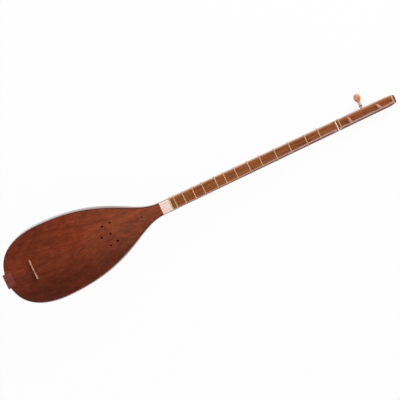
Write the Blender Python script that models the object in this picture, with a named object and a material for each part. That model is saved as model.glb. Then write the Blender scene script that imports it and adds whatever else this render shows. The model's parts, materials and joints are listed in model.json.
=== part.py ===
# Tanbur: a pear-shaped, long-necked lute that lies on its back, strings up.
#
# It is modelled in its own straight frame: x runs from the bridge along the neck, y to the
# player's upper side, z up from the plane of the soundboard's edge and the neck's face.
# At the end the whole instrument is tipped until bowl and head both touch the floor.

import math

import bmesh
import bpy
from mathutils import Matrix, Vector
from mathutils.geometry import interpolate_bezier

mm = 0.001

# Clearances
SEAT_GAP = 0.3 * mm            # between pieces that touch
BLOCK_GAP = 0.8 * mm           # between the ribs and the inner blocks
PEG_GAP = 0.25 * mm            # round a peg's shaft in its hole
GUT_GAP = 0.3 * mm             # between tied gut and the neck
WIRE_GAP = 0.3 * mm            # between a string and what it bears on

# Plan of the bowl
TAIL_REACH = 53.8 * mm         # bridge to the tip of the tail's curve
TAIL_TRIM = 0.9 * mm           # tip of the curve to the trimmed ends of the ribs
TAIL_FULLNESS = 62.1 * mm
BELLY_X = 38.9 * mm            # bridge to the widest point
BELLY_HALF_WIDTH = 74.3 * mm
BELLY_TAIL_HANDLE = 38.4 * mm
BELLY_NECK_HANDLE = 137.9 * mm
JOINT_HALF_WIDTH = 12.8 * mm
JOINT_HANDLE = 53.5 * mm
JOINT_FLARE = 0.5 * mm

# Keel line of the bowl
KEEL_DEPTH = 92 * mm
KEEL_X = 34 * mm
KEEL_FULLNESS = 66 * mm
KEEL_TAIL_HANDLE = 46 * mm
KEEL_NECK_HANDLE = 112 * mm
KEEL_JOINT_HANDLE = 66 * mm
KEEL_FLARE = 6 * mm
JOINT_DEPTH = 24 * mm

# How far below the face the section is widest, as a share of the height under it
BELLY_SHOULDER = 0.345
NECK_SHOULDER = 0.58
SHOULDER_START_X = 70 * mm

# Ribs, blocks and soundboard
RIB_COUNT = 9
RIB_THICKNESS = 3 * mm
BOARD_THICKNESS = 2.5 * mm
BOARD_CROWN = 1.8 * mm
TAIL_BLOCK_START = 6.5 * mm    # from the trimmed end of the ribs
TAIL_BLOCK_LENGTH = 14 * mm
NECK_BLOCK_LENGTH = 44 * mm
TENON_LENGTH = 26 * mm
TENON_WIDTH = 10 * mm
TENON_TOP = 6 * mm             # below the face
TENON_HEIGHT = 9 * mm
TENON_ROOT = 10 * mm           # sunk into the neck

# Sound holes: distance from the bridge, distance to the upper side, length along the grain, width
SOUND_HOLES = (
    (148.7 * mm, 17.6 * mm, 4.3 * mm, 3.7 * mm),
    (164.4 * mm, 17.8 * mm, 4.1 * mm, 3.6 * mm),
    (139.4 * mm, -0.9 * mm, 5.6 * mm, 3.1 * mm),
    (157.4 * mm, -1.1 * mm, 3.6 * mm, 3.3 * mm),
    (148.7 * mm, -21.1 * mm, 4.0 * mm, 3.2 * mm),
    (163.5 * mm, -18.7 * mm, 4.9 * mm, 4.3 * mm),
    (222.3 * mm, 1.6 * mm, 4.2 * mm, 4.2 * mm),
)

# Neck and head
LAST_FRET_TO_JOINT = 20.9 * mm
HEAD_LENGTH = 119.6 * mm       # nut to the head's end
HEAD_HALF_WIDTH = 10 * mm
HEAD_DEPTH = 20 * mm
HEAD_ROUND_LENGTH = 20 * mm
HEAD_ROUND_DROP = 3.4 * mm
BEVEL_START = 0.3 * mm         # width of the lower front bevel at the joint
BEVEL_END = 5.2 * mm           # and at the head
BEVEL_SLOPE = math.radians(25)
PLATE_LENGTH = 19.5 * mm
PLATE_THICKNESS = 1.6 * mm
HEAD_CAP_LENGTH = 2.6 * mm
HEAD_CAP_TRIM = 0.05 * mm      # flat left on the rounded end
HEAD_STRIP_LENGTH = 3.6 * mm

# Nut, gut and frets
SCALE_LENGTH = 622 * mm
NUT_THICKNESS = 2.2 * mm
NUT_HEIGHT = 2.3 * mm
NUT_SEAT_DEPTH = 3 * mm
NOTCH_DEPTH = 0.6 * mm
NOTCH_WIDTH = 1.1 * mm
TIE_DISTANCE = 6.6 * mm        # nut to the gut band behind it
TIE_RISE = 1.2 * mm            # how far the band passes over the strings
GUT_BAND_WIDTH = 1.7 * mm
GUT_BAND_THICKNESS = 0.55 * mm
FRET_CENTS = (103, 184, 290, 389, 497, 590, 698, 794, 876, 1002, 1100, 1211, 1315, 1367)

# Bridge and string holder
BRIDGE_LENGTH = 39.5 * mm
BRIDGE_TOP_LENGTH = 37 * mm
BRIDGE_HEIGHT = 8.6 * mm
BRIDGE_FOOT_THICKNESS = 3.2 * mm
BRIDGE_TOP_THICKNESS = 2 * mm
BRIDGE_FOOT_LENGTH = 9 * mm
BRIDGE_ARCH_HEIGHT = 3.6 * mm
BRIDGE_SLIDE = (-0.5 * mm, 5 * mm)
HOLDER_WIDTH = 28 * mm
HOLDER_NOSE = 4.6 * mm         # beyond the trimmed end of the ribs
HOLDER_NOSE_HEIGHT = 11 * mm
HOLDER_WEB = 3.2 * mm
HOLDER_DROP = 19 * mm
HOLDER_LIP_LENGTH = 12.3 * mm  # over the soundboard
HOLDER_LIP_THICKNESS = 2.4 * mm
HOLDER_LIP_TAPER = 1.0 * mm
HOLDER_CHAMFER = 1.8 * mm
HITCH_RADIUS = 1.5 * mm
HITCH_DROP = 13.5 * mm         # below the soundboard's edge
HITCH_LOOP_START = math.radians(70)

# Strings: name, radius, place across bridge, nut and string holder
STRINGS = (
    ("string_bass", 0.16 * mm, 8.0 * mm, 6.5 * mm, 7.0 * mm),
    ("string_treble_1", 0.09 * mm, -2.2 * mm, 0.9 * mm, -1.0 * mm),
    ("string_treble_2", 0.09 * mm, -7.0 * mm, -3.2 * mm, -8.2 * mm),
)
WINDING_TURNS = 4
WINDING_HEIGHT = 3.5 * mm      # first turn above the neck's surface
WIRE_BEND = 1.0 * mm

# Pegs
PEG_Y = 0.6 * mm
FRONT_PEGS_FROM_NUT = (25.1 * mm, 84.2 * mm)
SIDE_PEG_FROM_NUT = 56.2 * mm
SIDE_PEG_DROP = 9 * mm         # its axis below the face
FRONT_PEG_TURN = (math.radians(12), math.radians(35))
PEG_RADIUS = 2.8 * mm          # at the surface of the neck
PEG_TAPER = 0.02               # radius lost per length inside the hole
PEG_END_INSET = 0.6 * mm
STEM_LENGTH = 12.4 * mm
STEM_STRAIGHT = 8 * mm         # stretch for the wire, above the neck's surface
STEM_WAIST = 2.4 * mm
KNOB_LENGTH = 15.4 * mm
KNOB_HALF_WIDTH = 6.6 * mm
KNOB_HALF_THICKNESS = 2.5 * mm
KNOB_ROOT_ANGLE = math.radians(-62)
KNOB_TIP_ANGLE = math.radians(86)
KNOB_BLUNTNESS = 0.6           # power that keeps the knob's faces flat towards its rim

# Mesh fineness
SLOPE_STEP = 0.2 * mm           # along the bowl, to find a rib's slope
TAIL_STATIONS = 9
NECK_SIDE_STATIONS = 13
RIB_FACETS = 2
BOARD_FACETS = 8
NECK_FACETS = 16
NECK_STATIONS = 8
HEAD_STATIONS = 4
PEG_SIDES = 16
HOLE_SIDES = 12

RIB_END_X = -(TAIL_REACH - TAIL_TRIM)
FRET_X = [SCALE_LENGTH * 2 ** (-cents / 1200) for cents in FRET_CENTS]
JOINT_X = FRET_X[-1] - LAST_FRET_TO_JOINT    # bridge to the joint of bowl and neck
HEAD_END_X = SCALE_LENGTH + HEAD_LENGTH
FRONT_PEG_X = [SCALE_LENGTH + distance for distance in FRONT_PEGS_FROM_NUT]
SIDE_PEG_X = SCALE_LENGTH + SIDE_PEG_FROM_NUT
HEAD_CAP_X = HEAD_END_X - HEAD_CAP_LENGTH
HEAD_STRIP_X = HEAD_CAP_X - SEAT_GAP - HEAD_STRIP_LENGTH
TIE_X = SCALE_LENGTH + TIE_DISTANCE


# Curves that drive the shape

def curve_points(segments, steps=60):
    """Fine points along a run of Bezier segments."""
    points = []
    for start, handle_1, handle_2, end in segments:
        corners = [Vector((x, y, 0)) for x, y in (start, handle_1, handle_2, end)]
        points += interpolate_bezier(*corners, steps)
    return points


def height_on(points, x):
    """Height of a curve, given as fine points in order of x, at one x."""
    for before, after in zip(points, points[1:]):
        if before.x <= x <= after.x and after.x > before.x:
            share = (x - before.x) / (after.x - before.x)
            return before.y + share * (after.y - before.y)
    return points[0].y if x < points[0].x else points[-1].y


def inner_curve(points, distance):
    """The parallel curve at a distance on the side of the instrument's axis."""
    moved = []
    for before, after in zip(points, points[1:]):
        if (after - before).length > 0:
            along = (after - before).normalized()
            moved.append((before + after) / 2 + distance * Vector((along.y, -along.x, 0)))
    return moved


PLAN = (
    (
        (-TAIL_REACH, 0),
        (-TAIL_REACH, TAIL_FULLNESS),
        (BELLY_X - BELLY_TAIL_HANDLE, BELLY_HALF_WIDTH),
        (BELLY_X, BELLY_HALF_WIDTH),
    ),
    (
        (BELLY_X, BELLY_HALF_WIDTH),
        (BELLY_X + BELLY_NECK_HANDLE, BELLY_HALF_WIDTH),
        (JOINT_X - JOINT_HANDLE, JOINT_HALF_WIDTH + JOINT_FLARE),
        (JOINT_X, JOINT_HALF_WIDTH),
    ),
)
KEEL = (
    (
        (-TAIL_REACH, 0),
        (-TAIL_REACH, KEEL_FULLNESS),
        (KEEL_X - KEEL_TAIL_HANDLE, KEEL_DEPTH),
        (KEEL_X, KEEL_DEPTH),
    ),
    (
        (KEEL_X, KEEL_DEPTH),
        (KEEL_X + KEEL_NECK_HANDLE, KEEL_DEPTH),
        (JOINT_X - KEEL_JOINT_HANDLE, JOINT_DEPTH + KEEL_FLARE),
        (JOINT_X, JOINT_DEPTH),
    ),
)
PLAN_POINTS = curve_points(PLAN)
KEEL_POINTS = curve_points(KEEL)
PLAN_INSIDE = inner_curve(PLAN_POINTS, RIB_THICKNESS + BLOCK_GAP)
KEEL_INSIDE = inner_curve(KEEL_POINTS, RIB_THICKNESS + BLOCK_GAP)


def smooth_step(value):
    value = min(max(value, 0), 1)
    return value * value * (3 - 2 * value)


def neck_share(x):
    """0 at the joint of bowl and neck, 1 at the head's end."""
    return (x - JOINT_X) / (HEAD_END_X - JOINT_X)


def head_rounding(x):
    """How much the rounded end of the head draws in the section's sides."""
    share = (x - HEAD_END_X + HEAD_ROUND_LENGTH) / HEAD_ROUND_LENGTH
    return HEAD_ROUND_DROP * (1 - math.sqrt(1 - min(max(share, 0), 1) ** 2))


def half_width(x):
    if x <= JOINT_X:
        return height_on(PLAN_POINTS, x)
    straight = JOINT_HALF_WIDTH + neck_share(x) * (HEAD_HALF_WIDTH - JOINT_HALF_WIDTH)
    return straight - head_rounding(x)


def full_depth(x):
    if x <= JOINT_X:
        return height_on(KEEL_POINTS, x)
    straight = JOINT_DEPTH + neck_share(x) * (HEAD_DEPTH - JOINT_DEPTH)
    return straight - head_rounding(x)


def shoulder(x):
    share = smooth_step((x - SHOULDER_START_X) / (JOINT_X - SHOULDER_START_X))
    return BELLY_SHOULDER + share * (NECK_SHOULDER - BELLY_SHOULDER)


class Section:
    """The elliptical cross-section at x: angle 0 is at the upper side, pi / 2 at the keel."""

    def __init__(self, x, inside=False):
        depth = full_depth(x)
        self.x = x
        self.centre = -depth * shoulder(x) / (1 + shoulder(x))
        self.width = height_on(PLAN_INSIDE, x) if inside else half_width(x)
        self.height = self.centre + (height_on(KEEL_INSIDE, x) if inside else depth)

    def point(self, angle):
        across, down = self.width * math.cos(angle), self.height * math.sin(angle)
        return Vector((self.x, across, self.centre - down))

    def angle_at(self, z):
        """Angle on the upper side at which the outline passes height z."""
        return math.asin(min(max((self.centre - z) / self.height, -0.99), 0.99))

    def side_at(self, z):
        return self.width * math.cos(self.angle_at(z))

    def speed(self, angle):
        """Arc length per radian."""
        return math.hypot(self.width * math.sin(angle), self.height * math.cos(angle))


def spread(start, end, count):
    """count + 1 even values from start to end."""
    return [start + (end - start) * step / count for step in range(count + 1)]


def crown(x, y):
    """Rise of the arched soundboard above its edge."""
    edge = Section(x).side_at(0)
    across = min(abs(y) / edge, 1)
    return BOARD_CROWN * (edge / BELLY_HALF_WIDTH) ** 2 * (1 - across**2)


def bowl_stations():
    """Places along the bowl, closer together where its outline turns fastest."""
    angles = spread(0, math.pi / 2, TAIL_STATIONS)
    tail_part = [BELLY_X + (RIB_END_X - BELLY_X) * math.cos(angle) for angle in angles]
    return tail_part + spread(BELLY_X, JOINT_X, NECK_SIDE_STATIONS)[1:]


# Building blocks

def make_material(name, color, roughness, metallic=0.0):
    material = bpy.data.materials.new(name)
    material.use_nodes = True
    shader = material.node_tree.nodes["Principled BSDF"]
    shader.inputs["Base Color"].default_value = (*color, 1)
    shader.inputs["Roughness"].default_value = roughness
    shader.inputs["Metallic"].default_value = metallic
    material.diffuse_color = (*color, 1)
    return material


def add_object(name, bm, material, place=None):
    """Make an object of a bmesh given in the instrument's frame, its origin at place."""
    bm.normal_update()
    bmesh.ops.recalc_face_normals(bm, faces=bm.faces)
    place = place or Matrix()
    bm.transform(place.inverted())
    mesh = bpy.data.meshes.new(name)
    bm.to_mesh(mesh)
    bm.free()
    mesh.shade_smooth()
    mesh.set_sharp_from_angle(angle=math.radians(30))
    mesh.materials.append(material)
    piece = bpy.data.objects.new(name, mesh)
    bpy.context.scene.collection.objects.link(piece)
    piece.parent = instrument
    piece.matrix_basis = place
    return piece


def loft(loops):
    """Closed body through loops of as many points each: a face extruded from loop to loop."""
    bm = bmesh.new()
    first = face = bm.faces.new([bm.verts.new(point) for point in loops[0]])
    for loop in loops[1:]:
        made = bmesh.ops.extrude_face_region(bm, geom=[face])
        if face is not first:
            bm.faces.remove(face)
        face = next(item for item in made["geom"] if isinstance(item, bmesh.types.BMFace))
        for vert, point in zip(face.verts, loop):
            vert.co = point
    return bm


def box(low, high):
    bm = bmesh.new()
    bmesh.ops.create_cube(bm, size=1)
    low, high = Vector(low), Vector(high)
    for vert in bm.verts:
        vert.co = (low + high) / 2 + Vector(a * b for a, b in zip(vert.co, high - low))
    return bm


def cut(piece, bm, operation="DIFFERENCE"):
    """Cut a piece by a hidden tool, or keep only what lies inside it."""
    tool = add_object(piece.name + "_tool", bm, piece.data.materials[0])
    tool.hide_render = True
    tool.display_type = "WIRE"
    modifier = piece.modifiers.new("Cut", "BOOLEAN")
    modifier.operation = operation
    modifier.solver = "EXACT"
    modifier.object = tool


def cone(start, end, start_radius, end_radius, sides=PEG_SIDES):
    """Tapered round body between two points."""
    bm = bmesh.new()
    axis = end - start
    bmesh.ops.create_cone(
        bm,
        cap_ends=True,
        segments=sides,
        radius1=start_radius,
        radius2=end_radius,
        depth=axis.length,
    )
    turn = axis.to_track_quat("Z", "Y").to_matrix().to_4x4()
    bm.transform(Matrix.Translation((start + end) / 2) @ turn)
    return bm


# Bowl

def make_ribs():
    stations = bowl_stations()
    for index in range(RIB_COUNT):
        loops = []
        for x in stations:
            section = Section(x)
            ahead, behind = Section(x + SLOPE_STEP), Section(x - SLOPE_STEP)
            top = section.angle_at(-BOARD_THICKNESS - SEAT_GAP)
            edges = spread(top, math.pi - top, RIB_COUNT)
            start, end = edges[index], edges[index + 1]
            if index > 0:
                start += SEAT_GAP / 2 / section.speed(start)
            if index < RIB_COUNT - 1:
                end -= SEAT_GAP / 2 / section.speed(end)
            outer, inner = [], []
            for angle in spread(start, end, RIB_FACETS):
                point = section.point(angle)
                around = Vector((0, -section.width * math.sin(angle), -section.height * math.cos(angle)))
                along = ahead.point(angle) - behind.point(angle)
                normal = around.cross(along).normalized()
                if normal.dot(point - Vector((x, 0, section.centre))) < 0:
                    normal.negate()
                outer.append(point)
                inner.append(point - RIB_THICKNESS * normal)
            loops.append(outer + inner[::-1])
        wood = rib_wood_light if index % 2 else rib_wood
        add_object(f"bowl_rib_{index + 1}", loft(loops), wood)


def block_loop(x):
    """Outline of an inner block: the bowl's inside, flat on top."""
    section = Section(x, inside=True)
    top = section.angle_at(-BOARD_THICKNESS - BLOCK_GAP)
    return [section.point(angle) for angle in spread(top, math.pi - top, NECK_FACETS)]


def make_blocks():
    start = RIB_END_X + TAIL_BLOCK_START
    stations = spread(start, start + TAIL_BLOCK_LENGTH, 3)
    add_object("tail_block", loft([block_loop(x) for x in stations]), block_wood)
    stations = spread(JOINT_X - NECK_BLOCK_LENGTH, JOINT_X - SEAT_GAP, 4)
    neck_block = add_object("neck_block", loft([block_loop(x) for x in stations]), block_wood)
    side = TENON_WIDTH / 2 + SEAT_GAP
    mortise = box(
        (JOINT_X - TENON_LENGTH - SEAT_GAP, -side, -TENON_TOP - TENON_HEIGHT - SEAT_GAP),
        (JOINT_X + SEAT_GAP, side, -TENON_TOP + SEAT_GAP),
    )
    cut(neck_block, mortise)


def make_soundboard():
    loops = []
    for x in bowl_stations():
        section = Section(x)
        top_edge = section.side_at(0)
        low_edge = section.side_at(-BOARD_THICKNESS)
        top = [Vector((x, y, crown(x, y))) for y in spread(top_edge, -top_edge, BOARD_FACETS)]
        low = [
            Vector((x, y, crown(x, y * top_edge / low_edge) - BOARD_THICKNESS))
            for y in spread(-low_edge, low_edge, BOARD_FACETS)
        ]
        loops.append(top + low)
    board = add_object("soundboard", loft(loops), board_wood)
    for x, y, length, width in SOUND_HOLES:
        reach = BOARD_CROWN + 2 * BOARD_THICKNESS
        hole = cone(Vector((x, y, -reach)), Vector((x, y, reach)), width / 2, width / 2, HOLE_SIDES)
        for vert in hole.verts:
            vert.co.x = x + (vert.co.x - x) * length / width
        cut(board, hole)


# Neck and head

def bevel_width(x):
    return BEVEL_START + (BEVEL_END - BEVEL_START) * math.sin(math.pi / 2 * min(neck_share(x), 1))


def neck_outline(x):
    """Outline of the neck's section from its upper face edge round the back to the bevel."""
    section = Section(x)
    top = section.angle_at(0)
    face = section.side_at(0)
    bevel_edge = face - bevel_width(x)
    low, high = math.pi / 2, math.pi - top
    for _ in range(30):
        middle = (low + high) / 2
        point = section.point(middle)
        if point.z + math.tan(BEVEL_SLOPE) * (-point.y - bevel_edge) < 0:
            low = middle
        else:
            high = middle
    around = [section.point(angle) for angle in spread(top, low, NECK_FACETS)]
    return around + [Vector((x, -bevel_edge, 0))]


def neck_stations(start, end):
    """Stations between two places, with extra ones along the rounded end of the head."""
    straight_end = HEAD_END_X - HEAD_ROUND_LENGTH
    if start >= straight_end:
        return spread(start, end, 2)
    return spread(start, straight_end, NECK_STATIONS) + spread(straight_end, end, HEAD_STATIONS)[1:]


def plate_box(grow=0.0):
    start = JOINT_X + SEAT_GAP
    wide = JOINT_HALF_WIDTH * 2
    return box(
        (start - grow, -wide, -PLATE_THICKNESS - grow),
        (start + PLATE_LENGTH + grow, wide, PLATE_THICKNESS),
    )


def make_neck():
    start = JOINT_X + SEAT_GAP
    stations = neck_stations(start, HEAD_STRIP_X - SEAT_GAP)
    neck = add_object("neck", loft([neck_outline(x) for x in stations]), neck_wood)
    tenon = box(
        (JOINT_X - TENON_LENGTH, -TENON_WIDTH / 2, -TENON_TOP - TENON_HEIGHT),
        (start + TENON_ROOT, TENON_WIDTH / 2, -TENON_TOP),
    )
    cut(neck, tenon, "UNION")
    cut(neck, plate_box(SEAT_GAP))
    wide = JOINT_HALF_WIDTH * 2
    nut_room = NUT_THICKNESS / 2 + SEAT_GAP
    nut_slot = box(
        (SCALE_LENGTH - nut_room, -wide, -NUT_SEAT_DEPTH - SEAT_GAP),
        (SCALE_LENGTH + nut_room, wide, NUT_HEIGHT),
    )
    cut(neck, nut_slot)
    for x in FRONT_PEG_X:
        above = Vector((x, PEG_Y, STEM_LENGTH))
        below = Vector((x, PEG_Y, -2 * HEAD_DEPTH))
        cut(neck, peg_hole(above, below, STEM_LENGTH))
    side = Section(SIDE_PEG_X).side_at(-SIDE_PEG_DROP)
    outside = Vector((SIDE_PEG_X, side + STEM_LENGTH, -SIDE_PEG_DROP))
    far_side = Vector((SIDE_PEG_X, -2 * HEAD_DEPTH, -SIDE_PEG_DROP))
    cut(neck, peg_hole(outside, far_side, STEM_LENGTH))

    plate_stations = spread(start, start + 2 * PLATE_LENGTH, 2)
    plate = add_object("joint_plate", loft([neck_outline(x) for x in plate_stations]), bone)
    cut(plate, plate_box(), "INTERSECT")
    strip_stations = spread(HEAD_STRIP_X, HEAD_STRIP_X + HEAD_STRIP_LENGTH, 2)
    add_object("head_strip", loft([neck_outline(x) for x in strip_stations]), pale_wood)
    cap_stations = spread(HEAD_CAP_X, HEAD_END_X - HEAD_CAP_TRIM, 3)
    add_object("head_cap", loft([neck_outline(x) for x in cap_stations]), dark_wood)


# Gut bands and nut

def grown(outline, distance):
    """Outline moved outwards by a distance, corners kept sharp."""
    x = outline[0].x
    count = len(outline)
    middle = sum(outline, Vector()) / count
    moved = []
    for index, point in enumerate(outline):
        before = point - outline[index - 1]
        after = outline[(index + 1) % count] - point
        normals = []
        for edge in (before, after):
            normal = Vector((0, edge.z, -edge.y)).normalized()
            if normal.dot(point - middle) < 0:
                normal.negate()
            normals.append(normal)
        mitre = (normals[0] + normals[1]).normalized()
        moved.append(point + mitre * distance / max(mitre.dot(normals[0]), 0.3))
        moved[-1].x = x
    return moved


def gut_band(name, x, rise, place=None):
    """Gut tied round the neck: an open tube with a wall, its front raised by rise."""
    bm = bmesh.new()
    edges = []
    for station in (x - GUT_BAND_WIDTH / 2, x + GUT_BAND_WIDTH / 2):
        outline = grown(neck_outline(station), GUT_GAP)
        front = max(point.z for point in outline)
        verts = []
        for point in outline:
            lift = rise if point.z > front - GUT_GAP else 0
            verts.append(bm.verts.new(point + Vector((0, 0, lift))))
        edges += [bm.edges.new((verts[index - 1], verts[index])) for index in range(len(verts))]
    bmesh.ops.bridge_loops(bm, edges=edges)
    band = add_object(name, bm, gut, place)
    wall = band.modifiers.new("Wall", "SOLIDIFY")
    wall.thickness = GUT_BAND_THICKNESS
    wall.offset = 1
    wall.use_even_offset = True
    return band


def make_frets():
    for number, x in enumerate(FRET_X, start=1):
        gut_band(f"fret_{number:02d}", x, 0, Matrix.Translation((x, 0, 0)))
    gut_band("nut_tie", TIE_X, TIE_RISE)


def make_nut():
    half = Section(SCALE_LENGTH).side_at(-NUT_SEAT_DEPTH)
    nut = add_object(
        "nut",
        box(
            (SCALE_LENGTH - NUT_THICKNESS / 2, -half, -NUT_SEAT_DEPTH),
            (SCALE_LENGTH + NUT_THICKNESS / 2, half, NUT_HEIGHT),
        ),
        bone,
    )
    for _, _, _, y, _ in STRINGS:
        cut(nut, notch(SCALE_LENGTH, y, NUT_HEIGHT, NUT_THICKNESS))


def notch(x, y, top, thickness):
    """Small trough for one string in the top of nut or bridge."""
    return box(
        (x - thickness, y - NOTCH_WIDTH / 2, top - NOTCH_DEPTH),
        (x + thickness, y + NOTCH_WIDTH / 2, top + NOTCH_DEPTH),
    )


# Bridge and string holder

def bridge_base():
    """Height of the bridge's feet: clear of the crown wherever the bridge slides."""
    start, end = BRIDGE_SLIDE[0] - BRIDGE_FOOT_THICKNESS, BRIDGE_SLIDE[1] + BRIDGE_FOOT_THICKNESS
    return max(crown(x, 0) for x in spread(start, end, 4)) + SEAT_GAP


def make_bridge():
    base = bridge_base()
    foot_end = BRIDGE_LENGTH / 2
    top_end = BRIDGE_TOP_LENGTH / 2
    arch_end = foot_end - BRIDGE_FOOT_LENGTH
    outline = [(foot_end, 0), (foot_end, BRIDGE_ARCH_HEIGHT), (top_end, BRIDGE_HEIGHT)]
    outline += [(-top_end, BRIDGE_HEIGHT), (-foot_end, BRIDGE_ARCH_HEIGHT), (-foot_end, 0)]
    arch = [
        (-arch_end * math.cos(angle), BRIDGE_ARCH_HEIGHT * math.sin(angle))
        for angle in spread(0, math.pi, 8)
    ]
    bm = bmesh.new()
    face = bm.faces.new([bm.verts.new((0, y, base + z)) for y, z in outline + arch])
    bmesh.ops.triangulate(bm, faces=[face])
    bmesh.ops.solidify(bm, geom=bm.faces[:], thickness=BRIDGE_FOOT_THICKNESS)
    middle = sum(vert.co.x for vert in bm.verts) / len(bm.verts)
    for vert in bm.verts:
        share = (vert.co.z - base) / BRIDGE_HEIGHT
        thickness = BRIDGE_FOOT_THICKNESS + share * (BRIDGE_TOP_THICKNESS - BRIDGE_FOOT_THICKNESS)
        vert.co.x = (vert.co.x - middle) * thickness / BRIDGE_FOOT_THICKNESS
    bridge = add_object("bridge", bm, pale_wood, Matrix.Translation((0, 0, base)))
    for _, _, y, _, _ in STRINGS:
        cut(bridge, notch(0, y, base + BRIDGE_HEIGHT, BRIDGE_TOP_THICKNESS))


def holder_heights():
    """Underside and top of the string holder's lip, at its outer and inner end."""
    lip_end = RIB_END_X + HOLDER_LIP_LENGTH
    seat = max(crown(x, 0) for x in spread(RIB_END_X, lip_end, 4)) + SEAT_GAP
    return lip_end, seat, seat + HOLDER_LIP_THICKNESS


def make_string_holder():
    back = RIB_END_X - SEAT_GAP
    nose = RIB_END_X - HOLDER_NOSE
    web = back - HOLDER_WEB
    lip_end, seat, top = holder_heights()
    nose_low = top - HOLDER_NOSE_HEIGHT
    profile = (
        (nose, nose_low),
        (nose, top - HOLDER_CHAMFER),
        (nose + HOLDER_CHAMFER, top),
        (lip_end, top - HOLDER_LIP_TAPER),
        (lip_end, seat),
        (back, seat),
        (back, -HOLDER_DROP),
        (web, -HOLDER_DROP),
        (web, nose_low),
    )
    side = HOLDER_WIDTH / 2
    loops = [[Vector((x, y, z)) for x, z in profile] for y in (-side, side)]
    holder = add_object("string_holder", loft(loops), holder_wood)
    for _, _, _, _, y in STRINGS:
        root = Vector((web + HOLDER_WEB / 2, y, -HITCH_DROP))
        tip = Vector((nose, y, -HITCH_DROP))
        cut(holder, cone(root, tip, HITCH_RADIUS, HITCH_RADIUS, HOLE_SIDES), "UNION")


# Pegs

def peg_radius(height):
    """Radius of the tapered shaft, height counted from the neck's surface outwards."""
    return PEG_RADIUS + PEG_TAPER * min(height, 0)


def peg_hole(outer, inner, above):
    """Tapered hole from a point above the surface to one beyond the far side."""
    wide_end = peg_radius(0) + PEG_TAPER * above + PEG_GAP
    narrow_end = peg_radius(above - (inner - outer).length) + PEG_GAP
    return cone(outer, inner, wide_end, narrow_end)


def make_peg(name, place, depth):
    """A peg along z of its place: tapered shaft, waisted stem and flat round knob."""
    shaft_end = -(depth - PEG_END_INSET)
    sections = [
        (shaft_end, peg_radius(shaft_end), peg_radius(shaft_end)),
        (0, PEG_RADIUS, PEG_RADIUS),
        (STEM_STRAIGHT, PEG_RADIUS, PEG_RADIUS),
        (STEM_LENGTH, STEM_WAIST, STEM_WAIST),
    ]
    knob_middle = STEM_LENGTH + KNOB_LENGTH / 2
    for angle in spread(KNOB_ROOT_ANGLE, KNOB_TIP_ANGLE, 8):
        height = knob_middle + KNOB_LENGTH / 2 * math.sin(angle)
        width = KNOB_HALF_WIDTH * math.cos(angle)
        thickness = KNOB_HALF_THICKNESS * math.cos(angle) ** KNOB_BLUNTNESS
        sections.append((height, width, thickness))
    loops = []
    for height, width, thickness in sections:
        ring = []
        for angle in spread(0, 2 * math.pi, PEG_SIDES)[:-1]:
            ring.append(place @ Vector((width * math.cos(angle), thickness * math.sin(angle), height)))
        loops.append(ring)
    add_object(name, loft(loops), peg_wood, place)


def side_peg_place():
    side = Section(SIDE_PEG_X).side_at(-SIDE_PEG_DROP)
    sideways = Matrix.Rotation(math.radians(-90), 4, "X")
    return Matrix.Translation((SIDE_PEG_X, side, -SIDE_PEG_DROP)) @ sideways


def make_pegs():
    for number, (x, turn) in enumerate(zip(FRONT_PEG_X, FRONT_PEG_TURN), start=1):
        place = Matrix.Translation((x, PEG_Y, 0)) @ Matrix.Rotation(math.radians(90) + turn, 4, "Z")
        section = Section(x)
        back_angle = math.acos((abs(PEG_Y) + PEG_RADIUS) / section.width)
        depth = -section.point(back_angle).z
        make_peg(f"front_peg_{number}", place, depth)
    far_side = Section(SIDE_PEG_X).side_at(-SIDE_PEG_DROP - PEG_RADIUS)
    near_side = Section(SIDE_PEG_X).side_at(-SIDE_PEG_DROP)
    make_peg("side_peg", side_peg_place(), near_side + far_side)


# Strings

def rounded(corners, radius):
    """Route through corners, each turned into a short arc of three points."""
    route = [corners[0]]
    for before, corner, after in zip(corners, corners[1:], corners[2:]):
        inward = (before - corner).normalized()
        outward = (after - corner).normalized()
        reach = min(radius, (before - corner).length / 3, (after - corner).length / 3)
        start, end = corner + inward * reach, corner + outward * reach
        route += [start, (start + end) / 4 + corner / 2, end]
    return route + [corners[-1]]


def hitch_loop(y, wire):
    """Loop round a hitch of the string holder, leaving it upwards on the upper side."""
    nose = RIB_END_X - HOLDER_NOSE
    web = RIB_END_X - SEAT_GAP - HOLDER_WEB
    radius = HITCH_RADIUS + WIRE_GAP + wire
    x = (nose + web) / 2
    return [
        Vector((x, y + radius * math.cos(angle), -HITCH_DROP + radius * math.sin(angle)))
        for angle in spread(HITCH_LOOP_START, 2 * math.pi, 12)
    ]


def tail_route(y_hitch, bridge_point, wire):
    """From the hitch over the holder's nose to the bridge."""
    nose = RIB_END_X - HOLDER_NOSE
    _, _, top = holder_heights()
    clear = WIRE_GAP + wire
    mitre = clear * math.tan(math.pi / 8)
    loop = hitch_loop(y_hitch, wire)
    y = loop[-1].y
    under = Vector((nose - clear, y, top - HOLDER_NOSE_HEIGHT - clear))
    corner = Vector((nose - clear, y, top - HOLDER_CHAMFER + mitre))
    crest = Vector((nose + HOLDER_CHAMFER - mitre, y, top + clear))
    return loop + rounded([loop[-1], under, corner, crest, bridge_point], WIRE_BEND)[1:]


def winding(place, wire, start_angle, direction):
    """Turns of wire round a peg's stem, along z of its place."""
    radius = PEG_RADIUS + WIRE_GAP + wire
    pitch = 3 * wire
    steps = 10
    points = []
    for step in range(WINDING_TURNS * steps + 1):
        angle = start_angle + direction * 2 * math.pi * step / steps
        height = WINDING_HEIGHT + pitch * step / steps
        points.append(place @ Vector((radius * math.cos(angle), radius * math.sin(angle), height)))
    return points


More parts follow.
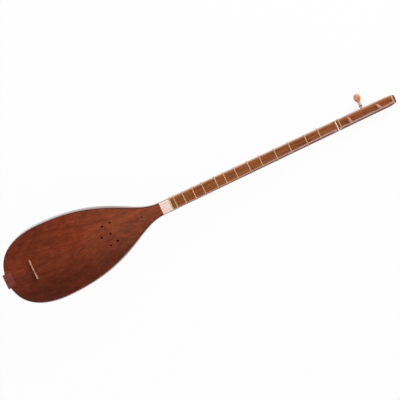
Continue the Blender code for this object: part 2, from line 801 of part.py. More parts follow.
def make_string(name, wire, y_bridge, y_nut, y_hitch, peg_route):
    bridge_top = bridge_base() + BRIDGE_HEIGHT - NOTCH_DEPTH + WIRE_GAP + wire
    nut_top = NUT_HEIGHT - NOTCH_DEPTH + WIRE_GAP + wire
    bridge_point = Vector((0, y_bridge, bridge_top))
    nut_point = Vector((SCALE_LENGTH, y_nut, nut_top))
    tie_point = Vector((TIE_X, y_nut, (TIE_RISE + GUT_GAP) / 2))
    route = tail_route(y_hitch, bridge_point, wire)
    route += rounded([bridge_point, nut_point, tie_point, peg_route[0]], WIRE_BEND)[:-1]
    route += peg_route
    curve = bpy.data.curves.new(name, "CURVE")
    curve.dimensions = "3D"
    curve.bevel_depth = wire
    curve.bevel_resolution = 2
    curve.use_fill_caps = True
    spline = curve.splines.new("POLY")
    spline.points.add(len(route) - 1)
    for spot, point in zip(spline.points, route):
        spot.co = (*point, 1)
    curve.materials.append(bronze_wire if name == "string_bass" else steel_wire)
    string = bpy.data.objects.new(name, curve)
    bpy.context.scene.collection.objects.link(string)
    string.parent = instrument


def make_strings():
    bass, treble_1, treble_2 = STRINGS
    wire = bass[1]
    clear = WIRE_GAP + wire
    side = Section(SIDE_PEG_X).side_at(0)
    wound = winding(side_peg_place(), wire, math.radians(-90), -1)
    share = (side - bass[3]) / (wound[0].y - bass[3])
    over_edge = Vector((TIE_X + share * (SIDE_PEG_X - TIE_X), side + clear, clear))
    make_string(*bass, [over_edge] + wound)
    for string, x, side in zip((treble_1, treble_2), FRONT_PEG_X, (1, -1)):
        place = Matrix.Translation((x, PEG_Y, 0))
        wound = winding(place, string[1], side * math.radians(90), -side)
        make_string(*string, wound)


# Rest on the floor

def lowest_tangent(points_a, points_b):
    """Angle at which a floor touches both groups of points from below."""
    angle = 0.0
    for _ in range(12):
        down = Vector((math.sin(angle), 0, -math.cos(angle)))
        low_a = max(points_a, key=down.dot)
        low_b = max(points_b, key=down.dot)
        angle = math.atan2(low_b.z - low_a.z, low_b.x - low_a.x)
    return angle


def mesh_points(names, frame):
    graph = bpy.context.evaluated_depsgraph_get()
    points = []
    for name in names:
        piece = bpy.data.objects[name].evaluated_get(graph)
        mesh = piece.to_mesh()
        points += [frame @ piece.matrix_world @ vert.co for vert in mesh.vertices]
        piece.to_mesh_clear()
    return points


def lay_on_floor():
    bpy.context.view_layer.update()
    ribs = [f"bowl_rib_{index + 1}" for index in range(RIB_COUNT)]
    neck_pieces = ["neck", "head_strip", "head_cap"]
    tilt = lowest_tangent(mesh_points(ribs, Matrix()), mesh_points(neck_pieces, Matrix()))
    tipped = Matrix.Rotation(tilt, 4, "Y")
    pieces = [item.name for item in bpy.data.objects if item.type != "EMPTY" and not item.hide_render]
    points = mesh_points(pieces, tipped)
    low = Vector(min(point[axis] for point in points) for axis in range(3))
    high = Vector(max(point[axis] for point in points) for axis in range(3))
    shift = Vector((-(low.x + high.x) / 2, -(low.y + high.y) / 2, -low.z))
    instrument.matrix_basis = Matrix.Translation(shift) @ tipped
    bpy.context.view_layer.update()


for old in list(bpy.data.objects):
    bpy.data.objects.remove(old, do_unlink=True)

rib_wood = make_material("rib_wood", (0.16, 0.05, 0.022), 0.35)
rib_wood_light = make_material("rib_wood_light", (0.24, 0.085, 0.035), 0.35)
block_wood = make_material("block_wood", (0.45, 0.28, 0.14), 0.7)
board_wood = make_material("board_wood", (0.2, 0.045, 0.016), 0.4)
neck_wood = make_material("neck_wood", (0.28, 0.11, 0.04), 0.4)
dark_wood = make_material("dark_wood", (0.05, 0.02, 0.012), 0.4)
pale_wood = make_material("pale_wood", (0.62, 0.4, 0.24), 0.5)
holder_wood = make_material("holder_wood", (0.2, 0.09, 0.055), 0.45)
peg_wood = make_material("peg_wood", (0.62, 0.26, 0.13), 0.4)
bone = make_material("bone", (0.85, 0.7, 0.58), 0.4)
gut = make_material("gut", (0.55, 0.4, 0.2), 0.5)
steel_wire = make_material("steel_wire", (0.6, 0.6, 0.6), 0.3, 1.0)
bronze_wire = make_material("bronze_wire", (0.7, 0.45, 0.2), 0.3, 1.0)

instrument = bpy.data.objects.new("instrument", None)
bpy.context.scene.collection.objects.link(instrument)

make_ribs()
make_blocks()
make_soundboard()
make_neck()
make_frets()
make_nut()
make_bridge()
make_string_holder()
make_pegs()
make_strings()
lay_on_floor()
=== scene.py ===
import json
import math

import bmesh
import bpy
from mathutils import Matrix, Vector
from mathutils.geometry import interpolate_bezier


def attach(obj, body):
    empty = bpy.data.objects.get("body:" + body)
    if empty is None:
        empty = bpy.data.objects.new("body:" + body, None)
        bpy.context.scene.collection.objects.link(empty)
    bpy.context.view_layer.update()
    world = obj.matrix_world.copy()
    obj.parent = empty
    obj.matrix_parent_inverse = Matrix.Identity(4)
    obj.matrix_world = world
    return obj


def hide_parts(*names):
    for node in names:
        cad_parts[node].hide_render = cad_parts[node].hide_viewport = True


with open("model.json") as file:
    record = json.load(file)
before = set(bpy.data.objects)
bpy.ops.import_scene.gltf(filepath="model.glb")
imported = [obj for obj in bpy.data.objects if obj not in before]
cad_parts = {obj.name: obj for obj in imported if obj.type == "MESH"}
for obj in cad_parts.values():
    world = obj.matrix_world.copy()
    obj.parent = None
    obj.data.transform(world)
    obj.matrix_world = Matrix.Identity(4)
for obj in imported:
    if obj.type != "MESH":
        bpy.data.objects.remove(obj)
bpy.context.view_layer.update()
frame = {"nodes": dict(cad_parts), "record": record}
mm = 0.001

# Everything is modelled as if the tanbur lay straight: x from the bridge along the neck,
# y to the player's upper side, z up from the neck's face. The frame's joints say how it
# really lies, tipped onto its bowl.
layout = {
    "stringLength": 622 * mm,
    "pegsFromNut": (25.1 * mm, 84.2 * mm),
    "pegY": 0.6 * mm,
    "ribGap": 0.3 * mm,
    "fretCents": (103, 184, 290, 389, 497, 590, 698, 794, 876, 1002, 1100, 1211, 1315, 1367),
}
frontPegX = [layout["stringLength"] + distance for distance in layout["pegsFromNut"]]
fretX = [layout["stringLength"] * 2 ** (-cents / 1200) for cents in layout["fretCents"]]
joints = {joint["name"]: joint for joint in frame["record"]["behaviour"]["joints"]}
alongNeck = Vector(joints["bridge_shift"]["axis"])
outOfFace = Vector(joints["front_peg_1_turn"]["axis"])
toUpperSide = outOfFace.cross(alongNeck)
firstPeg = Vector(joints["front_peg_1_turn"]["pos_m"])
bridgeSpot = firstPeg - alongNeck * frontPegX[0] - toUpperSide * layout["pegY"]
axes = Matrix((alongNeck, toUpperSide, outOfFace)).transposed().to_4x4()
instrument = Matrix.Translation(bridgeSpot) @ axes

# Outline of bowl and neck

bowl = {
    "tailReach": 53.8 * mm,
    "tailTrim": 0.9 * mm,
    "tailFullness": 62.1 * mm,
    "bellyX": 38.9 * mm,
    "bellyHalfWidth": 74.3 * mm,
    "bellyTailHandle": 38.4 * mm,
    "bellyNeckHandle": 137.9 * mm,
    "jointX": fretX[-1] - 20.9 * mm,
    "jointHalfWidth": 12.8 * mm,
    "jointHandle": 53.5 * mm,
    "jointFlare": 0.5 * mm,
    "keelDepth": 92 * mm,
    "keelX": 34 * mm,
    "keelFullness": 66 * mm,
    "keelTailHandle": 46 * mm,
    "keelNeckHandle": 112 * mm,
    "keelJointHandle": 66 * mm,
    "keelFlare": 6 * mm,
    "jointDepth": 24 * mm,
    "bellyShoulder": 0.345,
    "neckShoulder": 0.58,
    "shoulderStartX": 70 * mm,
    "boardThickness": 2.5 * mm,
    "boardCrown": 1.8 * mm,
}
head = {
    "endX": layout["stringLength"] + 119.6 * mm,
    "halfWidth": 10 * mm,
    "depth": 20 * mm,
    "roundLength": 20 * mm,
    "roundDrop": 3.4 * mm,
    "bevelStart": 0.3 * mm,
    "bevelEnd": 5.2 * mm,
    "bevelSlope": math.radians(25),
    "bevelShare": 0.72,  # flat part of the bevel's width, the rest is rounded over
    "shoulderDrop": 2.4,  # where the rounding ends, in heights of the bevel
    "capLength": 2.6 * mm,
    "capTrim": 0.03 * mm,
    "stripLength": 3.6 * mm,
    "endEdge": 0.3 * mm,  # softened edges of cap and strip
}
ribEndX = -(bowl["tailReach"] - bowl["tailTrim"])
capX = head["endX"] - head["capLength"]
stripX = capX - layout["ribGap"] - head["stripLength"]


def bezierPoints(segments, steps=80):
    points = []
    for corners in segments:
        points += interpolate_bezier(*[Vector((x, y, 0)) for x, y in corners], steps)
    return points


def heightOn(points, x):
    for before, after in zip(points, points[1:]):
        if before.x <= x <= after.x and after.x > before.x:
            return before.y + (x - before.x) / (after.x - before.x) * (after.y - before.y)
    return points[0].y if x < points[0].x else points[-1].y


def outlinePoints(full, tailHandle, widestX, widest, neckHandle, jointHandle, flare, atJoint):
    tail, jointX = -bowl["tailReach"], bowl["jointX"]
    belly, joint = (widestX, widest), (jointX, atJoint)
    return bezierPoints((
        ((tail, 0), (tail, full), (widestX - tailHandle, widest), belly),
        (belly, (widestX + neckHandle, widest), (jointX - jointHandle, atJoint + flare), joint),
    ))


plan = outlinePoints(
    bowl["tailFullness"], bowl["bellyTailHandle"], bowl["bellyX"], bowl["bellyHalfWidth"],
    bowl["bellyNeckHandle"], bowl["jointHandle"], bowl["jointFlare"], bowl["jointHalfWidth"],
)
keel = outlinePoints(
    bowl["keelFullness"], bowl["keelTailHandle"], bowl["keelX"], bowl["keelDepth"],
    bowl["keelNeckHandle"], bowl["keelJointHandle"], bowl["keelFlare"], bowl["jointDepth"],
)


def smoothStep(value):
    value = min(max(value, 0), 1)
    return value * value * (3 - 2 * value)


def mix(start, end, share):
    return start + (end - start) * share


def neckShare(x):
    return (x - bowl["jointX"]) / (head["endX"] - bowl["jointX"])


def halfWidth(x):
    if x <= bowl["jointX"]:
        return heightOn(plan, x)
    return mix(bowl["jointHalfWidth"], head["halfWidth"], neckShare(x)) - headRounding(x)


def depth(x):
    if x <= bowl["jointX"]:
        return heightOn(keel, x)
    return mix(bowl["jointDepth"], head["depth"], neckShare(x)) - headRounding(x)


def headRounding(x):
    share = (x - head["endX"] + head["roundLength"]) / head["roundLength"]
    return head["roundDrop"] * (1 - math.sqrt(1 - min(max(share, 0), 1) ** 2))


# The elliptical cross-section at x. Angle 0 is at the upper side, a quarter turn at the keel.
class Section:
    def __init__(self, x):
        share = smoothStep((x - bowl["shoulderStartX"]) / (bowl["jointX"] - bowl["shoulderStartX"]))
        shoulder = mix(bowl["bellyShoulder"], bowl["neckShoulder"], share)
        self.x = x
        self.centre = -depth(x) * shoulder / (1 + shoulder)
        self.width = halfWidth(x)
        self.height = self.centre + depth(x)

    def point(self, angle):
        across, down = self.width * math.cos(angle), self.height * math.sin(angle)
        return Vector((self.x, across, self.centre - down))

    def angleAt(self, z):
        return math.asin(min(max((self.centre - z) / self.height, -0.99), 0.99))

    def sideAt(self, z):
        return self.width * math.cos(self.angleAt(z))

    def speed(self, angle):
        return math.hypot(self.width * math.sin(angle), self.height * math.cos(angle))


def spread(start, end, count):
    return [mix(start, end, step / count) for step in range(count + 1)]


def crown(x, y):
    edge = Section(x).sideAt(0)
    return bowl["boardCrown"] * (edge / bowl["bellyHalfWidth"]) ** 2 * (1 - min(abs(y) / edge, 1) ** 2)


# x of a share of the bowl's length, slow round the tail where the outline turns fastest
def bowlX(share, tailShare=0.4):
    if share < tailShare:
        return bowl["bellyX"] + (ribEndX - bowl["bellyX"]) * math.cos(share / tailShare * math.pi / 2)
    return mix(bowl["bellyX"], bowl["jointX"], (share - tailShare) / (1 - tailShare))


# Materials

# wraps a socket, so that shader sums are written as Python expressions
class Value:
    def __init__(self, paint, socket):
        self.paint = paint
        self.socket = socket

    def math(self, operation, first, second):
        return self.paint.add("Math", {"operation": operation}, {0: first, 1: second})

    def __add__(self, other):
        return self.math("ADD", self, other)

    def __radd__(self, other):
        return self.math("ADD", other, self)

    def __sub__(self, other):
        return self.math("SUBTRACT", self, other)

    def __rsub__(self, other):
        return self.math("SUBTRACT", other, self)

    def __mul__(self, other):
        return self.math("MULTIPLY", self, other)

    def __rmul__(self, other):
        return self.math("MULTIPLY", other, self)


# the nodes of one material or world, and the one method that adds any node
class Paint:
    def __init__(self, owner, **constants):
        owner.use_nodes = True
        self.material = owner
        self.nodes = owner.node_tree.nodes
        self.links = owner.node_tree.links
        self.shader = self.nodes.get("Principled BSDF")
        self.set(**constants)

    def add(self, kind, settings=None, sockets=None, output=0):
        node = self.nodes.new("ShaderNode" + kind)
        for name, value in (settings or {}).items():
            if name == "stops":
                self.setStops(node.color_ramp, value)
            else:
                setattr(node, name, value)
        for name, value in (sockets or {}).items():
            self.feed(node.inputs[name], value)
        return Value(self, node.outputs[output])

    def setStops(self, ramp, stops):
        while len(ramp.elements) < len(stops):
            ramp.elements.new(1)
        for element, (place, value) in zip(ramp.elements, stops):
            element.position = place
            element.color = value if hasattr(value, "__len__") else (value, value, value, 1)

    def feed(self, socket, value):
        if isinstance(value, Value):
            self.links.new(value.socket, socket)
        else:
            socket.default_value = value

    # shader sockets by name, with _ for each blank
    def set(self, **sockets):
        for name, value in sockets.items():
            self.feed(self.shader.inputs[name.replace("_", " ")], value)
        return self.material

    # place on the instrument, turned so that x runs along the neck
    def place(self, stretch):
        coordinates = self.add("TexCoord", output=3)
        turned = self.add("Mapping", {"vector_type": "TEXTURE"}, {
            "Vector": coordinates, "Location": instrument.translation, "Rotation": instrument.to_euler(),
        })
        return self.add("VectorMath", {"operation": "MULTIPLY"}, {0: turned, 1: stretch})

    def noise(self, stretch, detail, roughness, distortion=0.0):
        return self.add("TexNoise", {}, {
            "Vector": self.place(stretch), "Scale": 1.0,
            "Detail": detail, "Roughness": roughness, "Distortion": distortion,
        })

    def ramp(self, value, *stops):
        return self.add("ValToRGB", {"stops": stops}, {"Fac": value})

    def blend(self, share, first, second, mode="MIX"):
        sockets = {0: share, 6: first, 7: second}
        return self.add("Mix", {"data_type": "RGBA", "blend_type": mode}, sockets, output=2)

    def attribute(self, name):
        return self.add("Attribute", {"attribute_name": name}, output=2)

    def bump(self, height, distance, strength):
        sockets = {"Height": height, "Distance": distance, "Strength": strength}
        return self.add("Bump", {}, sockets)


# a colour as a picture program shows it, 0 to 255
def shade(red, green, blue):
    linear = []
    for part in (red, green, blue):
        part /= 255
        linear.append(part / 12.92 if part <= 0.04045 else ((part + 0.055) / 1.055) ** 2.4)
    return (*linear, 1)


# Wood: broad bands and fine fibres along the neck, short pores, slow patches of tone
def wood(name, look):
    paint = Paint(
        bpy.data.materials.new(name),
        Specular_IOR_Level=look["specular"],
        Coat_Weight=look["varnish"],
        Coat_Roughness=look["varnishRoughness"],
        Sheen_Weight=look["glow"],
        Sheen_Roughness=look["glowSpread"],
        Sheen_Tint=look["glowTint"],
    )
    bands = paint.noise(look["bandStretch"], 3, 0.55, look["bandWaver"])
    fibres = paint.noise(look["fibreStretch"], 4, 0.6)
    patches = paint.noise(look["patchStretch"], 2, 0.5)
    pores = paint.noise(look["poreStretch"], 1, 0.5)
    share = bands * (1 - look["fibreShare"]) + fibres * look["fibreShare"]
    tone = paint.ramp(share, (0.36, look["dark"]), (0.5, look["middle"]), (0.64, look["pale"]))
    poreMask = paint.ramp(pores, (look["poreStart"], 0), (look["poreStart"] + 0.05, 1))
    tone = paint.blend(poreMask * look["poreDepth"], tone, look["poreColour"])
    slow = paint.ramp(patches, (0.3, look["patchLow"]), (0.7, look["patchHigh"]))
    tone = paint.blend(1.0, tone, slow, "MULTIPLY")
    height = fibres * 0.6 - poreMask * 0.4
    return paint, tone, fibres, height


def finishWood(paint, tone, fibres, height, look):
    return paint.set(
        Base_Color=tone,
        Roughness=look["roughness"] + (fibres - 0.5) * look["roughnessSpread"],
        Normal=paint.bump(height, look["bumpDepth"], look["bumpStrength"]),
    )


def woodLook(dark, middle, pale, **changes):
    look = {
        "dark": shade(*dark),
        "middle": shade(*middle),
        "pale": shade(*pale),
        "specular": 0.12,
        "varnish": 0.5,
        "varnishRoughness": 0.15,
        "glow": 0.0,  # pale shine of the varnish where it is seen at a low angle
        "glowSpread": 0.3,
        "glowTint": (1, 1, 1, 1),
        "roughness": 0.42,
        "roughnessSpread": 0.25,
        "bandStretch": (9, 120, 120),
        "bandWaver": 0.4,
        "fibreStretch": (60, 1400, 1400),
        "fibreShare": 0.45,
        "patchStretch": (9, 22, 22),
        "patchLow": (0.86, 0.86, 0.86, 1),
        "patchHigh": (1.1, 1.1, 1.1, 1),
        "poreStretch": (260, 2600, 2600),
        "poreStart": 0.66,
        "poreDepth": 0.5,
        "poreColour": shade(40, 18, 10),
        "bumpDepth": 0.00012,
        "bumpStrength": 0.35,
    }
    look.update(changes)
    return look


boardLook = woodLook(
    (122, 45, 18), (140, 56, 25), (158, 68, 33),
    bandStretch=(50, 110, 110), fibreStretch=(70, 900, 900), fibreShare=0.4,
    patchStretch=(140, 280, 280), patchLow=(0.86, 0.84, 0.84, 1), patchHigh=(1.12, 1.12, 1.12, 1),
    varnish=0.3,
)
# painted light and shade: across, from 75 mm on the lower side to 75 mm on the upper side, darker
# towards the lower side, and along, from 50 mm beyond the bridge to 200 mm towards the neck, darker
# towards the tail
boardShadeAndTone = {
    "across": (
        (0.1, 0.5), (0.21, 0.46), (0.3, 0.61), (0.4, 0.77),
        (0.5, 0.86), (0.6, 1), (0.7, 0.86), (0.9, 0.84),
    ),
    "along": ((0, 0.8), (0.29, 0.72), (0.47, 0.83), (0.6, 0.97), (1, 1)),
    "fade": ((0.36, 0), (0.44, 0.2), (0.53, 0.6), (0.62, 0.85), (0.71, 1)),
    "neckEnd": shade(146, 70, 41),
}


def boardMaterial():
    paint, tone, fibres, height = wood("boardWood", boardLook)
    along = paint.add("SeparateXYZ", {}, {"Vector": paint.place((4, 1, 1))})
    across = paint.add("SeparateXYZ", {}, {"Vector": paint.place((1, 1 / 0.15, 1))}, output=1)
    drift = (paint.noise((7, 16, 16), 2, 0.5) - 0.5) * 0.08
    neckEnd = paint.ramp(along, *boardShadeAndTone["fade"])
    tone = paint.blend(neckEnd, tone, paint.blend(1.0, tone, boardShadeAndTone["neckEnd"], "COLOR"))
    # painted light and shade: darker towards the lower side and towards the tail
    tone = paint.blend(1.0, tone, paint.ramp(across + 0.5 + drift, *boardShadeAndTone["across"]), "MULTIPLY")
    tone = paint.blend(1.0, tone, paint.ramp(along + 0.2 + drift, *boardShadeAndTone["along"]), "MULTIPLY")
    # painted highlight: pale orange flecks along the board's rim and tail end
    rim = paint.attribute("rim")
    flecks = paint.noise((90, 260, 260), 2, 0.6)
    rimHighlight = paint.ramp(flecks + (rim - 1) * 3, (0.5, 0), (0.6, 1))
    tone = paint.blend(rimHighlight * 0.4, tone, shade(178, 84, 34))
    return finishWood(paint, tone, fibres, height, boardLook)


neckLook = woodLook(
    (116, 55, 20), (146, 79, 36), (170, 102, 54),
    bandStretch=(14, 230, 230), fibreStretch=(80, 1700, 1700), patchStretch=(26, 60, 60),
    patchLow=(0.84, 0.8, 0.76, 1), patchHigh=(1.12, 1.12, 1.1, 1), varnish=0.6,
)
# painted reflection (pale) on the lower bevel and painted shade (dark) below it
bevelLightAndShade = {
    "paleStart": 0.1, "paleFull": 0.45, "pale": shade(205, 168, 158), "dark": shade(100, 74, 66),
}
# colours of the painted highlight on the neck's upper edge
upperEdgeHighlight = {"start": shade(180, 118, 76), "full": shade(212, 164, 134)}


# The neck's "turn" attribute is 0 on the face, 1 at the bevel's outer edge and 2 where the back
# begins; on it a painted reflection lightens the bevel and painted shade darkens the lower flank.
# Its "rim" attribute grows to 1 over the upper edge, where a highlight is painted.
def neckMaterial():
    paint, tone, fibres, height = wood("neckWood", neckLook)
    turn = paint.attribute("turn")
    edgeJitter = paint.noise((60, 300, 300), 3, 0.6)
    place = turn * 0.25 + (edgeJitter - 0.5) * 0.06
    start, full = bevelLightAndShade["paleStart"], bevelLightAndShade["paleFull"]
    # painted reflection: a pale band across the bevel
    pale = paint.ramp(place, (start * 0.25, 0), (full * 0.25, 1), (0.24, 1), (0.31, 0))
    tone = paint.blend(pale * 0.9, tone, bevelLightAndShade["pale"])
    # painted shade: darker just below the bevel and on the lower flank
    dark = paint.ramp(place, (0.26, 0), (0.32, 1), (0.5, 0.6), (0.75, 0))
    tone = paint.blend(dark * 0.7, tone, bevelLightAndShade["dark"])
    # painted highlight along the neck's upper edge
    edge = paint.attribute("rim") + (edgeJitter - 0.5) * 0.25
    rimHighlight = paint.ramp(edge, (0.1, 0), (0.35, 1))
    rimHighlight = paint.blend(rimHighlight * 0.8, tone, upperEdgeHighlight["start"])
    tone = paint.blend(paint.ramp(edge, (0.4, 0), (0.9, 0.9)), rimHighlight, upperEdgeHighlight["full"])
    return finishWood(paint, tone, fibres, height, neckLook)


pegLook = woodLook((196, 116, 80), (216, 140, 102), (230, 164, 128), poreDepth=0.2)


# the peg's "stem" attribute is 1 on its shaft, which is painted paler
def pegMaterial():
    paint, tone, fibres, height = wood("pegWood", pegLook)
    tone = paint.blend(paint.attribute("stem") * 0.8, tone, shade(222, 184, 172))
    return finishWood(paint, tone, fibres, height, pegLook)


def plainWood(name, look):
    return finishWood(*wood(name, look), look)


boneLook = {"colour": shade(252, 228, 212), "streak": shade(242, 214, 196), "roughness": 0.35}


def boneMaterial():
    paint = Paint(bpy.data.materials.new("bone"), Specular_IOR_Level=0.4)
    streaks = paint.noise((35, 260, 260), 4, 0.6)
    pits = paint.noise((900, 2600, 2600), 1, 0.5)
    tone = paint.blend(paint.ramp(streaks, (0.4, 0), (0.75, 1)), boneLook["colour"], boneLook["streak"])
    pitMask = paint.ramp(pits, (0.7, 0), (0.76, 1))
    tone = paint.blend(pitMask * 0.25, tone, shade(200, 160, 130))
    return paint.set(
        Base_Color=tone,
        Roughness=boneLook["roughness"] + streaks * 0.15,
        Normal=paint.bump(streaks * 0.3 - pitMask, 0.00005, 0.3),
    )


gutLook = {"colour": shade(238, 204, 156), "deep": shade(214, 172, 120), "roughness": 0.4}


def gutMaterial():
    paint = Paint(bpy.data.materials.new("gut"), Specular_IOR_Level=0.4)
    clouds = paint.noise((300, 300, 300), 3, 0.6)
    twist = paint.noise((2200, 700, 700), 2, 0.5)
    tone = paint.blend(paint.ramp(clouds, (0.35, 0), (0.7, 1)), gutLook["colour"], gutLook["deep"])
    return paint.set(
        Base_Color=tone,
        Roughness=gutLook["roughness"] + clouds * 0.2,
        Normal=paint.bump(twist, 0.00005, 0.4),
    )


def wireMaterial(name, colour, tarnish, windings):
    paint = Paint(bpy.data.materials.new(name), Metallic=1.0)
    clouds = paint.noise((500, 900, 900), 3, 0.6)
    tone = paint.blend(paint.ramp(clouds, (0.35, 0), (0.75, 1)), colour, tarnish)
    along = paint.add("SeparateXYZ", {}, {"Vector": paint.place((1, 1, 1))})
    ridges = paint.add("Math", {"operation": "SINE"}, {0: along * (2 * math.pi * windings)})
    return paint.set(
        Base_Color=tone,
        Roughness=0.25 + clouds * 0.25,
        Normal=paint.bump(ridges, 0.00004, 0.5 if windings else 0.0),
    )


# The top rib gets a pale sheen and stronger gloss as a painted reflection along the upper side, and the
# lowest rib less varnish as painted shade on the lower side.
ribChanges = {"varnish": 1.0, "varnishRoughness": 0.1, "roughness": 0.28, "bandStretch": (9, 60, 60)}
ribTones = ((84, 33, 20), (110, 46, 28), (134, 62, 38))
shinyLook = woodLook(*ribTones, glow=1.0, glowSpread=0.4, glowTint=(0.95, 0.9, 1, 1), **ribChanges)
blockLook = woodLook((150, 110, 70), (172, 132, 88), (190, 150, 104), varnish=0.0, roughness=0.7)
bridgeLook = woodLook((172, 122, 94), (198, 148, 118), (214, 170, 140), poreDepth=0.3, varnish=0.1)
materials = {
    "board": boardMaterial(),
    "neck": neckMaterial(),
    "rib": plainWood("ribWood", woodLook(*ribTones, **ribChanges)),
    "topRib": plainWood("topRibWood", shinyLook),
    "lowRib": plainWood("lowRibWood", woodLook(*ribTones, **{**ribChanges, "varnish": 0.3})),
    "paleRib": plainWood(
        "paleRibWood", woodLook((112, 52, 32), (138, 70, 44), (158, 88, 58), **ribChanges),
    ),
    "block": plainWood("blockWood", blockLook),
    "dark": plainWood("darkWood", woodLook((72, 46, 40), (94, 64, 58), (114, 82, 74))),
    "pale": plainWood(
        "paleWood", woodLook((190, 142, 100), (212, 166, 124), (228, 188, 148), poreDepth=0.25),
    ),
    "bridge": plainWood("bridgeWood", bridgeLook),
    "holder": plainWood(
        "holderWood", woodLook((108, 46, 35), (131, 61, 48), (146, 78, 64), varnish=0.2),
    ),
    "peg": pegMaterial(),
    "bone": boneMaterial(),
    "gut": gutMaterial(),
    "steel": wireMaterial("steelWire", (0.2, 0.2, 0.21, 1), (0.14, 0.13, 0.12, 1), 0),
    "bronze": wireMaterial("bronzeWire", (0.26, 0.16, 0.09, 1), (0.18, 0.1, 0.06, 1), 4000),
}
print("materials done")


# Mesh helpers

def faceOutward(bm):
    bm.normal_update()
    bmesh.ops.recalc_face_normals(bm, faces=bm.faces)


def soften(bm, width, angle=math.radians(30), segments=3):
    sharp = [edge for edge in bm.edges if len(edge.link_faces) == 2 and edge.calc_face_angle(0) > angle]
    bmesh.ops.bevel(
        bm, geom=sharp, offset=width, offset_type="OFFSET", affect="EDGES",
        segments=segments, profile=0.5, material=-1, clamp_overlap=True,
    )


def addPiece(name, bm, material, body, nodes, smoothAngle=40):
    faceOutward(bm)
    bm.transform(instrument)
    mesh = bpy.data.meshes.new(name)
    bm.to_mesh(mesh)
    bm.free()
    return addMesh(name, mesh, material, body, nodes, smoothAngle)


def addMesh(name, mesh, material, body, nodes, smoothAngle=40):
    mesh.shade_smooth()
    mesh.set_sharp_from_angle(angle=math.radians(smoothAngle))
    mesh.materials.clear()
    mesh.materials.append(materials[material])
    piece = bpy.data.objects.new(name, mesh)
    bpy.context.scene.collection.objects.link(piece)
    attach(piece, body)
    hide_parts(*nodes)
    return piece


# a body extruded from loop to loop
def loft(loops):
    bm = bmesh.new()
    first = face = bm.faces.new([bm.verts.new(point) for point in loops[0]])
    for loop in loops[1:]:
        made = bmesh.ops.extrude_face_region(bm, geom=[face])
        if face is not first:
            bm.faces.remove(face)
        face = next(item for item in made["geom"] if isinstance(item, bmesh.types.BMFace))
        for vert, point in zip(face.verts, loop):
            vert.co = point
    faceOutward(bm)
    return bm


# a flat outline, its points given across and up, made thick along the neck
def slab(x, outline, thickness):
    bm = bmesh.new()
    face = bm.faces.new([bm.verts.new((x, y, z)) for y, z in outline])
    made = bmesh.ops.extrude_face_region(bm, geom=[face])
    moved = [item for item in made["geom"] if isinstance(item, bmesh.types.BMVert)]
    bmesh.ops.translate(bm, vec=(thickness, 0, 0), verts=moved)
    faceOutward(bm)
    return bm


def sheet(columns, rows, surface):
    bm = bmesh.new()
    bmesh.ops.create_grid(bm, x_segments=columns, y_segments=rows, size=0.5)
    for vert in bm.verts:
        vert.co = surface(vert.co.x + 0.5, vert.co.y + 0.5)
    bm.normal_update()
    return bm


def block(low, high):
    bm = bmesh.new()
    bmesh.ops.create_cube(bm, size=1)
    low, high = Vector(low), Vector(high)
    bmesh.ops.scale(bm, vec=high - low, verts=bm.verts)
    bmesh.ops.translate(bm, vec=(low + high) / 2, verts=bm.verts)
    return bm


def cone(start, end, startRadius, endRadius, sides=40):
    bm = bmesh.new()
    axis = end - start
    bmesh.ops.create_cone(
        bm, cap_ends=True, segments=sides, radius1=startRadius, radius2=endRadius, depth=axis.length,
    )
    turn = axis.to_track_quat("Z", "Y").to_matrix().to_4x4()
    bm.transform(Matrix.Translation((start + end) / 2) @ turn)
    return bm


# cuts, or joins, tools given in the straight frame into a piece, and leaves a plain mesh
def carve(piece, tools, operation="DIFFERENCE"):
    cutters = []
    for bm in tools:
        faceOutward(bm)
        bm.transform(instrument)
        mesh = bpy.data.meshes.new("cutter")
        bm.to_mesh(mesh)
        bm.free()
        cutter = bpy.data.objects.new("cutter", mesh)
        bpy.context.scene.collection.objects.link(cutter)
        modifier = piece.modifiers.new("cut", "BOOLEAN")
        modifier.operation = operation
        modifier.solver = "EXACT"
        modifier.object = cutter
        cutters.append(cutter)
    graph = bpy.context.evaluated_depsgraph_get()
    done = bpy.data.meshes.new_from_object(piece.evaluated_get(graph))
    piece.modifiers.clear()
    piece.data = done
    done.set_sharp_from_angle(angle=math.radians(35))
    for cutter in cutters:
        bpy.data.objects.remove(cutter)


# a round rod along each route, as one mesh; the first routes, as many as closed says, are rings
def rod(name, routes, radius, material, body, nodes, closed=0):
    curve = bpy.data.curves.new(name, "CURVE")
    curve.dimensions = "3D"
    curve.bevel_depth = radius
    curve.bevel_resolution = 3
    curve.use_fill_caps = True
    for index, points in enumerate(routes):
        spline = curve.splines.new("POLY")
        spline.points.add(len(points) - 1)
        for spot, point in zip(spline.points, points):
            spot.co = (*(instrument @ point), 1)
        spline.use_cyclic_u = index < closed
    shape = bpy.data.objects.new(name + "Route", curve)
    bpy.context.scene.collection.objects.link(shape)
    graph = bpy.context.evaluated_depsgraph_get()
    mesh = bpy.data.meshes.new_from_object(shape.evaluated_get(graph))
    mesh.name = name
    bpy.data.objects.remove(shape)
    return addMesh(name, mesh, material, body, nodes)


# Bowl

ribs = {
    "count": 9,
    "thickness": 3 * mm,
    "columns": 72,
    "rows": 7,
    "flatness": 0.3,
    "edge": 0.25 * mm,
    "inside": -20 * mm,  # height of a line inside the bowl
}


